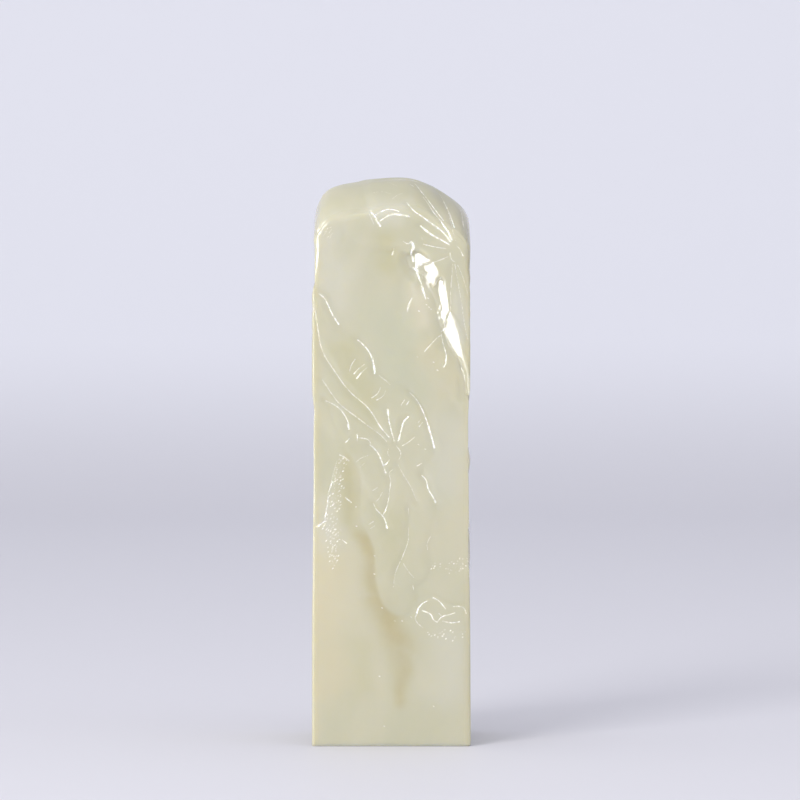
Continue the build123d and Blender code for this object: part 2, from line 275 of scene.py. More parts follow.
lowerLobePx = [
    (390, 618), (391, 627), (395.5, 634), (404, 639), (413, 637.5), (418, 632), (412, 622), (401, 617),
]
reedsPx = [
    (339.4, 454), (336, 461.5), (331, 480), (326.5, 503), (323.5, 518), (315.5, 526), (322, 531),
    (324, 545), (328, 558), (333, 571), (338, 566), (340, 552), (343, 543), (341, 530), (341, 512),
    (344, 502), (344, 488), (345.5, 472), (350, 463), (344.5, 457),
]
floatingLeafPx = [
    (415, 617), (416.5, 610), (420, 604.5), (427, 600), (434, 596.5), (441, 600), (447, 604), (455, 605.5),
    (463, 606), (467.5, 612), (466, 621), (457, 624), (446, 625), (436, 629), (424, 629), (418, 624),
]
dottedBandPx = [
    (429, 560), (440, 562), (452, 560), (462, 554), (468, 554), (468, 570), (456, 575), (441, 571),
    (430, 569),
]
dottedShadePx = [
    (424, 629), (437, 630), (449, 627), (460, 626), (468, 628), (468, 640), (452, 643), (436, 642),
    (426, 637),
]

# The upper leaf's left margin, down the front from the ridge to the right edge
upperMarginPx = [
    (366, 204), (368.5, 212), (372, 222), (381, 233), (393, 239.5), (404, 241.8), (407, 243.5),
    (408.8, 250), (409.6, 262), (415, 268), (425.5, 276), (430.5, 287), (436.3, 298), (438.6, 311),
    (442.5, 325), (447, 336), (454.5, 350), (461.5, 362), (466.3, 376), (469, 393),
]
# The same margin round the right side, and over the crown, as shares of half the side and the height
upperLeafRightShares = [
    (-0.97, 0.612), (-0.88, 0.604), (-0.72, 0.622), (-0.6, 0.65), (-0.46, 0.668), (-0.4, 0.705),
    (-0.24, 0.735), (-0.2, 0.78), (-0.04, 0.82), (0.02, 0.87), (0.1, 0.96),
]
upperLeafCrownShares = [
    (-0.31, -1.06), (-0.31, -0.9), (-0.38, -0.62), (-0.36, -0.36), (-0.44, -0.12), (-0.3, 0.08),
    (-0.1, 0.12), (0.06, 0.28), (0.32, 0.24), (0.54, 0.34), (0.8, 0.2), (1.06, 0.08),
]
# Where that margin turns to the light: an outline, the line it leans from, how steeply and how far
marginFacets = [
    {
        "outlinePx": [
            (411.5, 256.5), (416.6, 252.6), (418.5, 253), (421, 254.6), (426, 258.4), (432.3, 261.8),
            (418.5, 265.8), (414.2, 267), (411.5, 262),
        ],
        "hingePx": [(433, 253), (434, 266)],
        "slope": 0.225,
        "widthPx": 19,
    },
    {
        "outlinePx": [
            (417.5, 267.4), (433.2, 263.9), (435.2, 268), (439.6, 278.9), (438.9, 282.6), (433.5, 287),
            (428, 282.5), (427.9, 280.1), (429.8, 278.3), (426, 270.8), (422.9, 268.5),
        ],
        "hingePx": [(438, 264), (442, 286)],
        "slope": 0.225,
        "widthPx": 15,
    },
    {
        "outlinePx": [
            (434.6, 288.3), (438.6, 285), (439.8, 280.6), (442, 281), (442.8, 287), (445.4, 294.5),
            (445, 299.5), (447.5, 307), (448.5, 312), (447.9, 315.8), (444.1, 324.5), (442.5, 323.9),
            (441.6, 317), (439.8, 313.3), (442.3, 309.5), (441, 302), (439.1, 295.8),
        ],
        "hingePx": [(450.5, 281), (453.5, 325)],
        "slope": 0.235,
        "widthPx": 13,
    },
    {
        "outlinePx": [
            (449.8, 312), (456, 319.5), (459.8, 329.5), (462.3, 338.3), (464.1, 348.3), (466, 358.3),
            (467.9, 368.3), (469.8, 382), (470.3, 393.3), (469.1, 393.3), (468.5, 382), (466.6, 370.8),
            (464.1, 362), (461, 355.8), (456, 348.3), (451, 342), (447.9, 334.5), (446, 327),
            (447.9, 319.5), (449.1, 314.5),
        ],
        "hingePx": [(453, 312), (458.5, 330), (473, 393)],
        "slope": 0.23,
        "widthPx": 14,
    },
]
lowerLeafLeftShares = [
    (0.86, 0.801), (0.66, 0.79), (0.5, 0.766), (0.36, 0.75), (0.3, 0.715), (0.38, 0.68), (0.36, 0.65),
    (0.48, 0.626), (0.64, 0.622), (0.8, 0.606),
]

# How the relief stands, in mm
relief = {
    "groundShares": [0, 0.19, 0.32, 0.47, 0.61, 1],    # heights, and how deep the sides' ground lies there
    "groundDepths": [0, 0.07, 0.2, 0.33, 0.43, 0.5],
    "frontRise": 0.35,         # how much of that the front's ground lacks, and from where in from its edges
    "frontRiseReach": (1, 6),
    "crownGround": 0.3,
    "groundWaves": 0.035,
    "groundWaveLength": 6.5,
    "calmHeight": 45,          # below it the ground waves less, and near the foot not at all
    "calmShare": 0.4,
    "footCalm": (4, 20),
    "wall": 0.5,               # how wide a leaf's cut edge is
    "softWall": 1.3,
    "trench": 0.03,
    "trenchReach": 0.5,
    "scoop": 0.05,             # the ground's dip towards a leaf
    "scoopReach": 2.8,
    "leafRoll": 0.2,           # how far a leaf's margin turns down
    "leafRollReach": 1.7,
    "rollPower": 1.4,
    "veinDip": 0.11,
    "veinDipReach": 0.8,
    "reedRise": 0.1,           # over the ground
    "floatingRise": 0.12,
    "floatingWall": 0.6,
    "floatingVeinShare": 0.5,
    "lobeRise": 0.08,
}
# The lower leaf's edge is steep above, and softens where the leaf hangs, most of all on its left
lowerLeafLook = {
    "wall": 0.7,
    "hangingWall": 0.8,
    "leftWall": 1.4,
    "leftReach": (3, 0),
    "hangingHeights": (57, 51),
    "rollShare": 0.6,
    "rollHeights": (46, 54),
    "waves": (0.05, 5.0, 2),   # height, length and seed
}
upperLeafLook = {
    "rimDrop": 0.16,
    "underMargin": 0.2,        # how much deeper the turned rim lies beside the leaf's margin
    "underMarginReach": 1.0,
    "underMarginHeights": (80, 76),
    "rimWaves": (0.05, 4.0, 3),
    "meltHeights": (76.5, 80),  # where the margin runs out into the ground
    "meltWall": 6.0,
    "meltShare": 0.8,
    "edgeWall": 0.15,
    "waves": (0.04, 5.5, 4),
    "crownWaves": (0.04, 5.0, 6),
}
facetLook = {
    "raggedness": 0.05,
    "raggedLength": 0.6,
    "raggedSeed": 12,
    "blend": (-0.32, -0.04),   # from the leaf to the facet, in mm out from its outline
    "leafReach": 0.5,
    "marginReach": (0.6, 0.2),  # how far in from the leaf's margin, and beside the facet, it goes on
    "besideReach": (1.4, 0.9),
    "meltReach": (0.3, 0.0),
    "groundDrop": 0.05,
    "groundReach": 2.4,
}
sideLeafLook = {
    "roll": 0.24,
    "rollReach": 1.2,
    "veinShare": 1.2,
    "waves": (0.05, 4.5, 9),
    "trench": 0.08,
    "trenchReach": 0.6,
    "wall": 0.3,
    "budRollShare": 1.4,
}
leastDepth = 0.01              # under the sawn faces, so that a burr stays inside them
wornAndShadeLook = {"reach": (1.4, 0.2), "heights": (79.5, 75.5)}
print("scene: measures read")


# Places on a plain box stand for the stone's skin: x and y in mm, and the height as on the shoulder
boxTop = stoneHeight - block["shoulderFall"]


def gradedPlaces(low, high):
    steps = np.array(mesh["edgeSteps"])
    inner = np.linspace(low + steps[-1], high - steps[-1], int(round((high - low) / mesh["spacing"])))
    return np.concatenate([[low], low + steps[:-1], inner, high - steps[-2::-1], [high]])


def unit(vectors):
    return vectors / np.maximum(np.linalg.norm(vectors, axis=-1, keepdims=True), 1e-12)


def smoothStep(low, high, value):
    share = np.clip((value - low) / (high - low), 0, 1)
    return share * share * (3 - 2 * share)


def roundedPlan(x, y, up):  # the plan's rounded corners, and which way the side faces there
    shoulder = smoothStep(boxTop - block["shoulderBlend"], boxTop, up)
    reach = block["uprightRadius"] + (block["shoulderRadius"] - block["uprightRadius"]) * shoulder
    nearX = np.clip(x, reach - halfWidth, halfWidth - reach)
    nearY = np.clip(y, reach - halfDepth, halfDepth - reach)
    outX, outY = x - nearX, y - nearY
    out, most = np.hypot(outX, outY), np.maximum(abs(outX), abs(outY))
    pull = np.where(out > 1e-9, most / np.maximum(out, 1e-9), 1)
    return nearX + outX * pull, nearY + outY * pull, unit(np.stack([outX, outY, 0 * x], axis=1))


def onBlock(boxPlaces):  # where each place lies on the sawn block, and how far it is over its ridge
    boxX, boxY, up = boxPlaces.T
    x, y, _ = roundedPlan(boxX, boxY, up)
    toRim = halfWidth / np.maximum(np.maximum(abs(boxX), abs(boxY)), 1e-6)
    _, _, outward = roundedPlan(boxX * toRim, boxY * toRim, up)
    top = crownHeight(x, y)
    z = up / boxTop * top
    slopeX = (crownHeight(x + 0.02, y) - crownHeight(x - 0.02, y)) / 0.04
    upward = unit(np.stack([-slopeX, y / np.sqrt(crownRadius ** 2 - y ** 2), np.ones_like(x)], axis=1))
    isTop = up > boxTop - 1e-6
    inFromRim = halfWidth - np.maximum(abs(boxX), abs(boxY))
    overRidge = np.where(isTop, inFromRim / np.maximum(upward[:, 2], 0.35), z - top)
    turn = np.arccos(np.clip((outward * upward).sum(1), -1, 1))
    reachHere = block["ridgeRadius"] * np.tan(turn / 2) + 1e-6
    part = np.clip(0.5 + 0.5 * overRidge / reachHere, 0, 1)[:, None]
    lift = np.clip(reachHere - abs(overRidge), 0, None) ** 2 / (2 * block["ridgeRadius"])
    spots = np.stack([x, y, z], axis=1) - unit(outward * (1 - part) + upward * part) * lift[:, None]
    foot = block["footRadius"]
    fromFoot = np.clip(foot - np.where(up < 1e-6, inFromRim, z), 0, None)
    footLift = block["footLiftShare"] / foot * fromFoot ** 2
    spots -= (outward - (0, 0, 1)) * (footLift / math.sqrt(2))[:, None]
    return spots, overRidge


def boxShell():
    across, deep = gradedPlaces(-halfWidth, halfWidth), gradedPlaces(-halfDepth, halfDepth)
    up = gradedPlaces(0, boxTop)
    shell, points = bmesh.new(), {}

    def point(i, j, k):
        if (i, j, k) not in points:
            points[i, j, k] = shell.verts.new((across[i], deep[j], up[k]))
        return points[i, j, k]

    def sides(rows, columns, near, far):  # two sides that face each other, with their faces outwards
        for row in range(rows):
            for column in range(columns):
                ring = [(row, column), (row + 1, column), (row + 1, column + 1), (row, column + 1)]
                shell.faces.new([near(*spot) for spot in ring])
                shell.faces.new([far(*spot) for spot in reversed(ring)])

    lastI, lastJ, lastK = len(across) - 1, len(deep) - 1, len(up) - 1
    sides(lastI, lastK, lambda i, k: point(i, 0, k), lambda i, k: point(i, lastJ, k))
    sides(lastJ, lastK, lambda j, k: point(lastI, j, k), lambda j, k: point(0, j, k))
    sides(lastI, lastJ, lambda i, j: point(i, j, lastK), lambda i, j: point(i, j, 0))
    return shell


# The drawn lines, laid on the unrolled sides: across from the front's middle, and up
def unrolled(pixels):
    return [onFront(point) for point in pixels]


def onSide(shares, side=1):  # the right side, or the left one with side -1
    return [(side * 2 * halfWidth + share * halfDepth, up * stoneHeight) for share, up in shares]


def closedCurve(points, spacing=0.2):
    return smoothCurve(points + points[:1], spacing)


above = stoneHeight + 12
rimPastEdge = (13.6, 53.0)
underLeaf = [(15.0, 60.0), (8.0, 70.0)]    # where the leaf hides the turned rim
pastLeaf = [(20, 60), (20, 90), (-3.8, 90)]
upperMargin = smoothCurve(unrolled(upperMarginPx), 0.15)
upperRight = smoothCurve([tuple(upperMargin[-1])] + onSide(upperLeafRightShares), 0.2)
upperOutline = np.concatenate([
    [(upperMargin[0][0] - 0.6, above)], upperMargin, upperRight[1:], [(upperRight[-1][0], above)],
])
crownOutline = smoothCurve([(a * halfWidth, b * halfDepth) for a, b in upperLeafCrownShares], 0.2)
crownOutline = np.concatenate([
    [(crownOutline[0][0], -2 * halfDepth)], crownOutline,
    [(2 * halfWidth, crownOutline[-1][1]), (2 * halfWidth, -2 * halfDepth)],
])
rimOutline = np.concatenate([smoothCurve(unrolled(turnedRimPx) + [rimPastEdge], 0.2), underLeaf])
lowerOutline = closedCurve(unrolled(lowerLeafPx) + onSide(lowerLeafLeftShares, -1)[::-1])
lobeOutline = closedCurve(unrolled(lowerLobePx))
reedsOutline = closedCurve(unrolled(reedsPx))
floatingOutline = closedCurve(unrolled(floatingLeafPx))
bandOutline = closedCurve(unrolled(dottedBandPx))
shadeOutline = closedCurve(unrolled(dottedShadePx))


def wavyOutline(centre, reach, count, swell):
    turns = np.linspace(0, 2 * np.pi, 160, endpoint=False)
    far = 1 + swell * np.cos(count * turns)
    x = centre[0] + reach[0] * far * np.cos(turns)
    y = centre[1] + reach[1] * far * np.sin(turns)
    return np.stack([x, y], axis=1)


# The round leaf and the bud on the right side, in shares as in the part
sideBandOutline = closedCurve(onSide([
    (-1.0, 0.315), (-0.93, 0.316), (-0.9, 0.305), (-0.93, 0.292), (-1.0, 0.292),
]))
sideLeaf = {
    "centreShare": (-0.3, 0.345), "reachShare": (0.7, 0.062), "waves": 7, "swell": 0.06, "veins": 9,
    "rimTurns": [(0.1, 1.0), (1.5, 2.3), (2.7, 3.9), (4.3, 5.0), (5.3, 6.0)],
}
sideBud = {
    "centreShare": (-0.82, 0.498), "reachShare": (0.15, 0.021),
    "strokeShares": [
        [(-0.93, 0.485), (-0.88, 0.495), (-0.84, 0.512)],
        [(-0.74, 0.484), (-0.78, 0.497), (-0.82, 0.513)],
        [(-0.83, 0.476), (-0.8, 0.455), (-0.72, 0.43), (-0.6, 0.41)],
        [(-0.9, 0.47), (-0.95, 0.45), (-0.96, 0.42)],
    ],
}


def sidePatch(look, count=1, swell=0):
    reach = (look["reachShare"][0] * halfDepth, look["reachShare"][1] * stoneHeight)
    return wavyOutline(onSide([look["centreShare"]])[0], reach, count, swell)


sideLeafOutline = sidePatch(sideLeaf, sideLeaf["waves"], sideLeaf["swell"])
sideBudOutline = sidePatch(sideBud)
outlineReach = 3.5     # how far from an outline places are measured


def signedDistance(points, outline):  # mm in from the outline, and minus that outside it
    result = np.full(len(points), -outlineReach)
    low, high = outline.min(0) - outlineReach, outline.max(0) + outlineReach
    near = np.all((points > low) & (points < high), axis=1)
    places = np.flatnonzero(near)
    start, end = outline, np.roll(outline, -1, axis=0)
    way = end - start
    lengths = np.maximum((way ** 2).sum(1), 1e-12)
    for part in np.array_split(places, max(1, len(places) // 8000)):
        spots = points[part][:, None, :]
        share = np.clip(((spots - start) * way).sum(2) / lengths, 0, 1)
        gap = spots - start - share[..., None] * way
        distance = np.sqrt((gap ** 2).sum(2).min(1))
        over = (start[:, 1] > spots[..., 1]) != (end[:, 1] > spots[..., 1])
        rise = np.where(abs(way[:, 1]) > 1e-12, way[:, 1], 1e-12)
        crossing = over & (spots[..., 0] < start[:, 0] + (spots[..., 1] - start[:, 1]) / rise * way[:, 0])
        isIn = crossing.sum(1) % 2 == 1
        result[part] = np.where(isIn, distance, -distance)
    return result


# Strokes as they lie on the block, in mm, each with its half width along it
def pixelStroke(fromHalf, toHalf, pixels):
    curve = smoothCurve(pixels, 0.9)
    spots = np.array([throughPixel(point) for point in curve])
    return spots, np.linspace(fromHalf, toHalf, len(curve)) / photoCamera["pxPerMm"]


def crownStroke(fromHalf, toHalf, shares):
    plan = smoothCurve([(a * halfWidth, b * halfDepth) for a, b in shares], 0.15)
    spots = np.column_stack([plan, crownHeight(plan[:, 0], plan[:, 1])])
    return spots, np.linspace(fromHalf, toHalf, len(plan))


def sideStroke(fromHalf, toHalf, shares, side=1):
    flat = smoothCurve([(side * a * halfDepth, b * stoneHeight) for a, b in shares], 0.15)
    spots = np.column_stack([np.full(len(flat), side * halfWidth), flat])
    return spots, np.linspace(fromHalf, toHalf, len(flat))


crownVeins = [
    (0.14, 0.07, [(0.66, -0.94), (0.52, -0.82), (0.4, -0.66), (0.3, -0.42)]),
    (0.14, 0.07, [(0.8, -0.94), (0.74, -0.78), (0.68, -0.6), (0.62, -0.36)]),
    (0.12, 0.06, [(0.92, -0.8), (0.9, -0.55), (0.88, -0.3)]),
    (0.13, 0.06, [(0.36, -0.3), (0.1, -0.24), (-0.14, -0.3)]),
    (0.12, 0.06, [(0.44, -0.12), (0.34, 0.02), (0.28, 0.12)]),
]
rightVeins = [
    (0.14, 0.06, [(-0.96, 0.83), (-0.8, 0.85), (-0.5, 0.87), (-0.2, 0.872)]),
    (0.14, 0.06, [(-0.96, 0.8), (-0.78, 0.8), (-0.52, 0.79), (-0.28, 0.77)]),
    (0.14, 0.06, [(-0.94, 0.77), (-0.8, 0.74), (-0.64, 0.71), (-0.5, 0.69)]),
    (0.13, 0.06, [(-0.93, 0.74), (-0.86, 0.7), (-0.8, 0.65)]),
]
leftVeins = [
    (0.14, 0.06, [(0.97, 0.76), (0.86, 0.772), (0.7, 0.77), (0.54, 0.75)]),
    (0.14, 0.06, [(0.97, 0.72), (0.8, 0.715), (0.6, 0.71), (0.44, 0.705)]),
    (0.13, 0.06, [(0.97, 0.67), (0.8, 0.66), (0.62, 0.65), (0.5, 0.645)]),
]


def sideLeafPlace(turn, far):
    centre, reach = sideLeaf["centreShare"], sideLeaf["reachShare"]
    return centre[0] + reach[0] * math.cos(turn) * far, centre[1] + reach[1] * math.sin(turn) * far


def sideLeafStrokes():
    veins = sideLeaf["veins"]
    for number in range(veins):
        turn = 2 * math.pi * (number + 0.16 * math.sin(3 * number)) / veins
        sway = 0.16 * math.cos(5 * number)
        far = 0.8 + 0.08 * math.sin(4 * number)
        shares = [(t, turn + sway * t * t) for t in (0, 0.35, 0.7, 1)]
        yield 0.12, 0.05, [sideLeafPlace(angle, 0.15 + (far - 0.15) * t) for t, angle in shares]
        fork = 0.2 * math.cos(7 * number + 1)
        shares = [(t, turn + sway * 0.3 + fork * t) for t in (0.05, 0.5, 1)]
        yield 0.07, 0.04, [sideLeafPlace(angle, 0.52 + 0.3 * t) for t, angle in shares]
    for start, end in sideLeaf["rimTurns"]:
        turns = np.linspace(start, end, 5)
        yield 0.07, 0.1, [sideLeafPlace(t, 0.93 + 0.05 * math.cos(7 * t)) for t in turns]
    yield 0.09, 0.09, [sideLeafPlace(t, 0.13) for t in np.linspace(0.3, 3.6, 7)]
    yield 0.07, 0.07, [sideLeafPlace(t, 0.13) for t in np.linspace(4.2, 5.9, 5)]
    for shares in sideBud["strokeShares"]:
        yield 0.1, 0.06, shares


lowerStrokeShare = 0.87    # the lower leaf's strokes are finer than they were drawn
strokes = [pixelStroke(*stroke) for stroke in upperStrokesPx + waterStrokesPx]
strokes += [
    pixelStroke(lowerStrokeShare * fromHalf, lowerStrokeShare * toHalf, pixels)
    for fromHalf, toHalf, pixels in lowerStrokesPx
]
strokes += [pixelStroke(0.5, 0.5, [(a, b), (a + 0.9, b + 0.5)]) for a, b in specksPx]
strokes += [crownStroke(*stroke) for stroke in crownVeins]
strokes += [sideStroke(*stroke) for stroke in rightVeins]
strokes += [sideStroke(*stroke, side=-1) for stroke in leftVeins]
strokes += [sideStroke(*stroke) for stroke in sideLeafStrokes()]
print("scene: strokes", len(strokes))


# The mesh is cut finer near the lines, where the places between points are still on the plain box
def treeOf(spots):
    tree = kdtree.KDTree(len(spots))
    for number, spot in enumerate(spots):
        tree.insert(spot, number)
    tree.balance()
    return tree


def onFaces(outline):  # the unrolled sides' places, in three dimensions
    across, up = np.array(outline, float).T
    front = abs(across) <= halfWidth
    x = np.where(front, across, np.sign(across) * halfWidth)
    y = np.where(front, -halfDepth, abs(across) - 2 * halfWidth)
    keep = (up < crownHeight(x, y) + 0.5) & (up > 0) & (y < halfDepth)
    return np.stack([x, y, up], axis=1)[keep]


def onCrown(outline):
    x, y = np.array(outline, float).T
    keep = (abs(x) < halfWidth + 0.5) & (abs(y) < halfDepth + 0.5)
    x, y = x[keep], y[keep]
    return np.stack([x, y, crownHeight(x, y)], axis=1)


def filled(outline, spacing=0.5):  # places all over an outline
    low, high = outline.min(0), outline.max(0)
    rows = [np.arange(start, end, spacing) for start, end in zip(low, high)]
    places = np.stack(np.meshgrid(*rows), axis=-1).reshape(-1, 2)
    return places[signedDistance(places, outline) > 0]


leafLines = [
    rimOutline, lowerOutline, lobeOutline, reedsOutline, floatingOutline, sideLeafOutline, sideBudOutline,
]
facetOutlines = [np.array(unrolled(facet["outlinePx"])) for facet in marginFacets]
dotted = [reedsOutline, bandOutline, shadeOutline, sideBandOutline]
strokeTree = treeOf(np.concatenate([spots for spots, _ in strokes]))
rimTree = treeOf(np.concatenate(
    [onFaces(line) for line in [upperOutline] + leafLines] + [onCrown(crownOutline)]
))
dotTree = treeOf(np.concatenate([onFaces(filled(line, 0.4)) for line in dotted + facetOutlines]))
leafTree = treeOf(np.concatenate(
    [onFaces(filled(line, 0.8)) for line in leafLines]
    + [onFaces(filled(np.clip(upperOutline, -99, stoneHeight), 0.8)), onCrown(filled(crownOutline, 0.8))]
))


def wantedSpacing(spot):  # how fine the mesh is to be there
    rimReach, leafReach = mesh["rimReach"], mesh["leafReach"]
    fromStroke = strokeTree.find(spot)[2]
    if fromStroke < mesh["cutReach"]:
        return mesh["cutSpacing"]
    fromDots, fromRim = dotTree.find(spot)[2], rimTree.find(spot)[2]
    if fromStroke < rimReach["stroke"] or fromDots < rimReach["dots"] or fromRim < rimReach["rim"]:
        return mesh["rimSpacing"]
    fromLeaf = leafTree.find(spot)[2]
    if fromStroke < leafReach["stroke"] or fromRim < leafReach["rim"] or fromLeaf < leafReach["leaf"]:
        return mesh["leafSpacing"]
    return mesh["spacing"]


shell = boxShell()
size = mesh["spacing"]
for level in range(mesh["levels"]):
    size /= 2
    faces = list(shell.faces)
    middles = np.array([face.calc_center_median() for face in faces])
    spots, _ = onBlock(middles)
    chosen = set()
    for face, spot in zip(faces, spots):
        if wantedSpacing(spot) < size * 1.3:
            chosen.update(face.edges)
    bmesh.ops.subdivide_edges(shell, edges=list(chosen), cuts=1, use_grid_fill=True)
    print("scene: mesh level", level + 1, "faces", len(shell.faces))
boxPlaces = np.array([point.co for point in shell.verts])
spots, overRidge = onBlock(boxPlaces)
for point, spot in zip(shell.verts, spots * mm):
    point.co = spot
stoneMesh = bpy.data.meshes.new("seal stone")
shell.to_mesh(stoneMesh)
shell.free()
stoneMesh.shade_smooth()
outward = np.empty(len(stoneMesh.vertices) * 3, np.float32)
stoneMesh.vertex_normals.foreach_get("vector", outward)
outward = outward.reshape(-1, 3).astype(float)


# Relief, as depths under the sawn faces
def waves(places, length, seed):  # a gentle, rolling height from -1 to 1
    angles = np.arange(7) * 2.399 + seed
    ways = np.stack([np.cos(angles), np.sin(angles)], axis=1) * 2 * np.pi / length
    ways *= (0.75 + 0.09 * np.arange(7))[:, None]
    return np.sin(places @ ways.T + angles * 5).sum(1) / 3.2


def bell(distance, reach):  # 1 at nothing, and less and less over the reach
    return np.exp(-(distance / reach) ** 2)


def past(distance):  # how far outside an outline
    return np.clip(-distance, 0, None)


def laid(depth, distance, level, wall=relief["wall"], soft=False):  # a layer over what is there already
    if not soft:
        dip = bell(past(distance), relief["scoopReach"]) - bell(outlineReach, relief["scoopReach"])
        depth = depth + relief["trench"] * bell(past(distance), relief["trenchReach"])
        depth = depth + relief["scoop"] * np.clip(dip, 0, None)
    share = smoothStep(-wall, wall if soft else 0.0, distance)
    return depth * (1 - share) + level * share


def rolled(distance, drop=relief["leafRoll"], reach=relief["leafRollReach"]):  # a margin that turns down
    return drop * np.clip(1 - distance / reach, 0, 1) ** relief["rollPower"]


x, y, up = boxPlaces.T
frontOrBack = abs(y) >= abs(x)
onBack = np.where(x > 0, 4 * halfWidth - x, -4 * halfWidth - x)
onSides = np.sign(x) * (2 * halfWidth + y)
across = np.where(frontOrBack & (y < 0), x, np.where(frontOrBack, onBack, onSides))
height = spots[:, 2]
unrolledPlaces = np.stack([across, height], axis=1)
crownPlaces = spots[:, :2]
topShare = smoothStep(-0.5, 0.5, overRidge)


def inside(outline):
    return signedDistance(unrolledPlaces, outline)


def uneven(most, length, seed, places=unrolledPlaces):
    return most * (1 + waves(places, length, seed))


longStroke = 24  # places: shorter strokes aren't veins
veinTree = treeOf(np.concatenate([places for places, halves in strokes if len(places) > longStroke]))
fromVein = np.array([veinTree.find(spot)[2] for spot in spots])
veinDip = relief["veinDip"] * bell(fromVein, relief["veinDipReach"])

inUpper, inRim = inside(upperOutline), inside(rimOutline)
inLower, inLobe = inside(lowerOutline), inside(lobeOutline)
inReeds, inFloating = inside(reedsOutline), inside(floatingOutline)
inSideLeaf, inSideBud = inside(sideLeafOutline), inside(sideBudOutline)
inCrownLeaf = signedDistance(crownPlaces, crownOutline)
fromMargin = inside(np.concatenate([upperMargin, pastLeaf]))

rolling = relief["groundWaves"] * waves(unrolledPlaces, relief["groundWaveLength"], 1)
rolling = rolling * np.where(height > relief["calmHeight"], 1, relief["calmShare"])
ground = np.interp(height / stoneHeight, relief["groundShares"], relief["groundDepths"])
frontRise = relief["frontRise"] * smoothStep(*relief["frontRiseReach"], halfWidth - abs(across))
ground = ground * np.where(boxPlaces[:, 1] < 0.001 - halfDepth, 1 - frontRise, 1)
ground = ground + rolling * smoothStep(*relief["footCalm"], height)

softWall = relief["softWall"]
depth = laid(ground, inReeds, ground - relief["reedRise"], softWall, soft=True)
floatingDepth = depth - relief["floatingRise"] + relief["floatingVeinShare"] * veinDip
depth = laid(depth, inFloating, floatingDepth, relief["floatingWall"], soft=True)
depth = laid(depth, inLobe, depth - relief["lobeRise"], softWall, soft=True)

look = lowerLeafLook
toLeft = look["hangingWall"] + look["leftWall"] * smoothStep(*look["leftReach"], across)
lowerWall = look["wall"] + smoothStep(*look["hangingHeights"], height) * toLeft
lowerRoll = look["rollShare"] + (1 - look["rollShare"]) * smoothStep(*look["rollHeights"], height)
depth = laid(depth, inLower, rolled(inLower) * lowerRoll + veinDip + uneven(*look["waves"]), lowerWall)

look = upperLeafLook
underMargin = look["underMargin"] * bell(past(fromMargin), look["underMarginReach"])
underMargin = underMargin * smoothStep(*look["underMarginHeights"], height)
depth = laid(depth, inRim, look["rimDrop"] + underMargin + uneven(*look["rimWaves"]), softWall, soft=True)
melting = smoothStep(*look["meltHeights"], height)
unmelted = 1 - look["meltShare"] * melting
upperDepth = rolled(inUpper) * unmelted + veinDip + uneven(*look["waves"])

look = facetLook
ragged = look["raggedness"] * waves(unrolledPlaces, look["raggedLength"], look["raggedSeed"])
inFacets = np.zeros(len(across))
for facet, outline in zip(marginFacets, facetOutlines):
    hinge = np.array(unrolled(facet["hingePx"])[::-1])
    hingeX = np.interp(height, hinge[:, 1], hinge[:, 0])
    lean = facet["slope"] * np.clip(hingeX - across, 0, facet["widthPx"] / photoCamera["pxPerMm"])
    inFacet = inside(outline) + ragged
    outside = past(inFacet)
    atMargin = smoothStep(*look["marginReach"], inUpper) * smoothStep(*look["besideReach"], outside)
    atMargin = atMargin * smoothStep(*look["meltReach"], melting)
    upperDepth = np.maximum(upperDepth, lean * np.maximum(bell(outside, look["leafReach"]), atMargin))
    depth = np.maximum(depth, (lean + look["groundDrop"]) * bell(outside, look["groundReach"]) * unmelted)
    share = smoothStep(*look["blend"], inFacet)
    upperDepth = upperDepth * (1 - share) + lean * share
    inFacets = np.maximum(inFacets, share)
look = upperLeafLook
depth = laid(depth, inUpper + look["edgeWall"], upperDepth, look["edgeWall"] + look["meltWall"] * melting)

look = sideLeafLook
sideDepth = rolled(inSideLeaf, look["roll"], look["rollReach"]) + veinDip * look["veinShare"]
sideDepth = sideDepth + uneven(*look["waves"])
depth = depth + look["trench"] * bell(past(inSideLeaf), look["trenchReach"])
depth = laid(depth, inSideLeaf, sideDepth, look["wall"])
depth = laid(depth, inSideBud, rolled(inSideBud) * look["budRollShare"])

crownWaves = relief["groundWaves"] * waves(crownPlaces, relief["groundWaveLength"], 5)
crownLeafDepth = rolled(inCrownLeaf) + veinDip + uneven(*upperLeafLook["crownWaves"], crownPlaces)
crownDepth = laid(relief["crownGround"] + crownWaves, inCrownLeaf, crownLeafDepth, softWall, soft=True)
depth = depth * (1 - topShare) + crownDepth * topShare
depth = np.clip(depth, leastDepth, None) * (boxPlaces[:, 2] > 1e-6)
placed = spots - outward * depth[:, None]
stoneMesh.vertices.foreach_set("co", (placed * mm).astype(np.float32).ravel())
